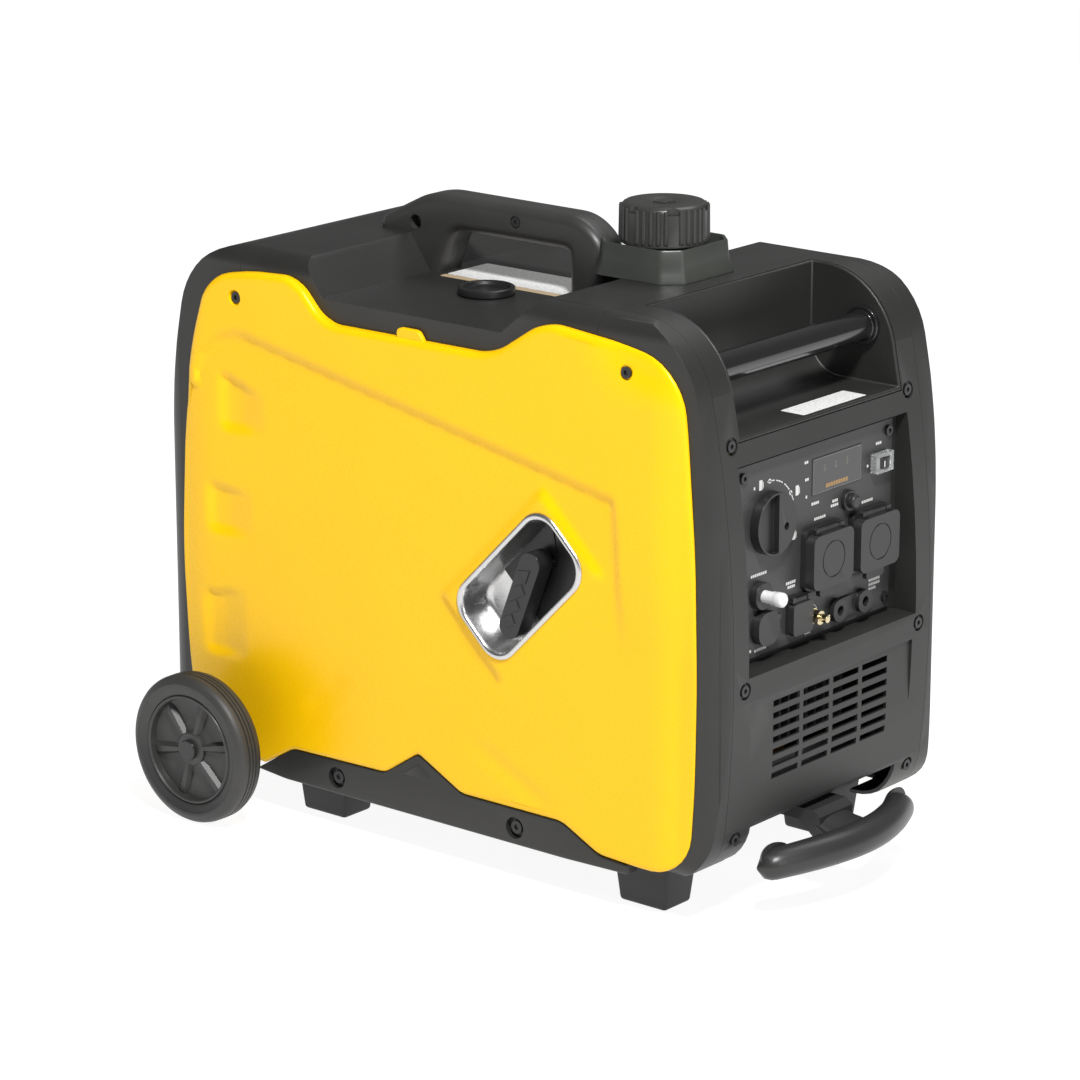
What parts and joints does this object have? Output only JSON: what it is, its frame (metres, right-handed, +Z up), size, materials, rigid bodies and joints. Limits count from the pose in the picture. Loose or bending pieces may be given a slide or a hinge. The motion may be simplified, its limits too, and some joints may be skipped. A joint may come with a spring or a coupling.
{
  "type": "portable generator",
  "caption": "Enclosed portable inverter generator with coloured side covers, carry handle, recoil starter, socket panel, rear wheels and a pull-out tow bar.",
  "frame": {"origin": "centre of the overall bounding box in plan, on the floor under the wheels and feet", "axes": "+X along the machine towards the control panel end, -Y the recoil starter side, +Z up"},
  "size_m": [0.629, 0.434, 0.537],
  "materials": {
    "black_plastic": "fine textured",
    "foot_rubber": "matt",
    "painted_tube": "satin black",
    "yellow_cover": "gloss yellow",
    "grey_plastic": "fine textured",
    "tank": "satin",
    "cap_plastic": "semi-gloss",
    "seal_rubber": "matt",
    "panel_plate": "matt",
    "screw_steel": "black zinc",
    "window": "gloss",
    "knob_plastic": "satin",
    "clear_guard": "clear",
    "socket_plastic": "satin",
    "flap_rubber": "matt",
    "silver_boot": "translucent",
    "brass": "plated",
    "brushed_trim": "brushed",
    "grip_rubber": "satin",
    "rope": "braided",
    "steel": "zinc",
    "tyre": "moulded",
    "hub_plastic": "satin",
    "engine_alloy": "cast",
    "muffler_steel": "heat stained",
    "module_alloy": "finned"
  },
  "bodies": {
    "body": {"base_tray": "black_plastic", "side_skirt_left": "black_plastic", "side_skirt_right": "black_plastic", "feet": "foot_rubber", "front_frame": "black_plastic", "front_panel": "black_plastic", "grab_recess_tub": "black_plastic", "grab_bar": "painted_tube", "rear_frame": "black_plastic", "rear_panel": "black_plastic", "top_cover": "black_plastic", "side_cover_left": "yellow_cover", "side_cover_right": "yellow_cover", "carry_handle_left": "black_plastic", "carry_handle_right": "black_plastic", "filler_surround": "grey_plastic", "fuel_tank": "tank", "control_panel": "panel_plate", "shell_screws": "screw_steel", "panel_screws": "screw_steel", "cover_screws": "screw_steel", "display_window": "window", "eco_switch_housing": "clear_guard", "ac_reset_body": "knob_plastic", "ac_sockets": "socket_plastic", "dc_breaker_body": "knob_plastic", "dc_outlet": "socket_plastic", "usb_outlet": "socket_plastic", "parallel_sockets": "socket_plastic", "ground_terminal": "brass", "starter_bezel": "brushed_trim", "starter_guide": "knob_plastic", "starter_rope": "rope", "recoil_housing": "black_plastic", "axle": "steel", "tow_bracket": "steel", "engine_block": "engine_alloy", "muffler": "muffler_steel", "inverter_module": "module_alloy"},
    "wheel_left": {"tyre_left": "tyre", "hub_left": "hub_plastic"},
    "wheel_right": {"tyre_right": "tyre", "hub_right": "hub_plastic"},
    "tow_bar": {"tow_handle": "black_plastic"},
    "cap_seal": {"cap_plug": "seal_rubber"},
    "cap": {"fuel_cap": "cap_plastic"},
    "engine_switch": {"engine_switch_knob": "knob_plastic"},
    "eco_switch": {"eco_rocker": "knob_plastic"},
    "reset_button": {"ac_reset_button": "seal_rubber"},
    "ac_flap_left": {"socket_flap_left": "flap_rubber"},
    "ac_flap_right": {"socket_flap_right": "flap_rubber"},
    "breaker_button": {"dc_breaker_button": "silver_boot"},
    "dc_flap": {"dc_outlet_flap": "flap_rubber"},
    "usb_cover": {"usb_flap": "flap_rubber"},
    "earth_nut": {"ground_nut": "brass"},
    "pull_grip": {"starter_grip": "grip_rubber"},
    "rope_reel": {"starter_reel": "knob_plastic"},
    "crank": {"flywheel": "steel"},
    "plug_cover": {"access_plug": "seal_rubber"}
  },
  "joints": [
    {"name": "wheel_left_spin", "type": "hinge", "parent": "body", "child": "wheel_left", "pos_m": [-0.2325, -0.203, 0.0635], "axis": [0, 1, 0], "continuous": true},
    {"name": "wheel_right_spin", "type": "hinge", "parent": "body", "child": "wheel_right", "pos_m": [-0.2325, 0.203, 0.0635], "axis": [0, 1, 0], "continuous": true},
    {"name": "tow_bar_slide", "type": "slide", "parent": "body", "child": "tow_bar", "axis": [1, 0, 0], "range_m": [0, 0.28]},
    {"name": "cap_lift", "type": "slide", "parent": "body", "child": "cap_seal", "axis": [0, 0, 1], "range_m": [0, 0.09]},
    {"name": "cap_turn", "type": "hinge", "parent": "cap_seal", "child": "cap", "pos_m": [0.0969, 0, 0.504], "axis": [0, 0, 1], "range_deg": [0, 135]},
    {"name": "engine_switch_turn", "type": "hinge", "parent": "body", "child": "engine_switch", "pos_m": [0.249, -0.0615, 0.313], "axis": [1, 0, 0], "range_deg": [-150, 0]},
    {"name": "eco_switch_tip", "type": "hinge", "parent": "body", "child": "eco_switch", "pos_m": [0.2515, 0.084, 0.332], "axis": [0, 0, 1], "range_deg": [0, 12]},
    {"name": "ac_reset_press", "type": "slide", "parent": "body", "child": "reset_button", "axis": [-1, 0, 0], "range_m": [0, 0.003], "stiffness_N_per_m": 400, "springref_m": -0.0005},
    {"name": "ac_flap_left_open", "type": "hinge", "parent": "body", "child": "ac_flap_left", "pos_m": [0.2568, 0.0065, 0.2951], "axis": [0, -1, 0], "range_deg": [0, 110], "stiffness_Nm_per_rad": 0.01, "springref_deg": -28.65},
    {"name": "ac_flap_right_open", "type": "hinge", "parent": "body", "child": "ac_flap_right", "pos_m": [0.2568, 0.0695, 0.2951], "axis": [0, -1, 0], "range_deg": [0, 110], "stiffness_Nm_per_rad": 0.01, "springref_deg": -28.65},
    {"name": "dc_breaker_press", "type": "slide", "parent": "body", "child": "breaker_button", "axis": [-1, 0, 0], "range_m": [0, 0.004], "stiffness_N_per_m": 400, "springref_m": -0.0005},
    {"name": "dc_flap_open", "type": "hinge", "parent": "body", "child": "dc_flap", "pos_m": [0.2536, -0.0544, 0.231], "axis": [0, 0, 1], "range_deg": [0, 100], "stiffness_Nm_per_rad": 0.01, "springref_deg": -28.65},
    {"name": "usb_flap_open", "type": "hinge", "parent": "body", "child": "usb_cover", "pos_m": [0.2536, -0.025, 0.2448], "axis": [0, -1, 0], "range_deg": [0, 85], "stiffness_Nm_per_rad": 0.01, "springref_deg": -28.65},
    {"name": "earth_nut_turn", "type": "hinge", "parent": "body", "child": "earth_nut", "pos_m": [0.255, -0.003, 0.224], "axis": [1, 0, 0], "continuous": true},
    {"name": "starter_pull", "type": "slide", "parent": "body", "child": "pull_grip", "axis": [0, -1, 0], "range_m": [0, 0.55], "stiffness_N_per_m": 12, "springref_m": -0.5, "deforming": ["starter_rope"]},
    {"name": "starter_reel_turn", "type": "hinge", "parent": "body", "child": "rope_reel", "pos_m": [0.0735, 0, 0.21], "axis": [1, 0, 0], "range_deg": [0, 900]},
    {"name": "crank_spin", "type": "hinge", "parent": "body", "child": "crank", "pos_m": [-0.0225, 0, 0.21], "axis": [1, 0, 0], "continuous": true},
    {"name": "access_plug_lift", "type": "slide", "parent": "body", "child": "plug_cover", "axis": [0, 0, 1], "range_m": [0, 0.12]}
  ],
  "couplings": [
    {"joint": "starter_reel_turn", "follows": "starter_pull", "rad_per_m": 27.778}
  ]
}
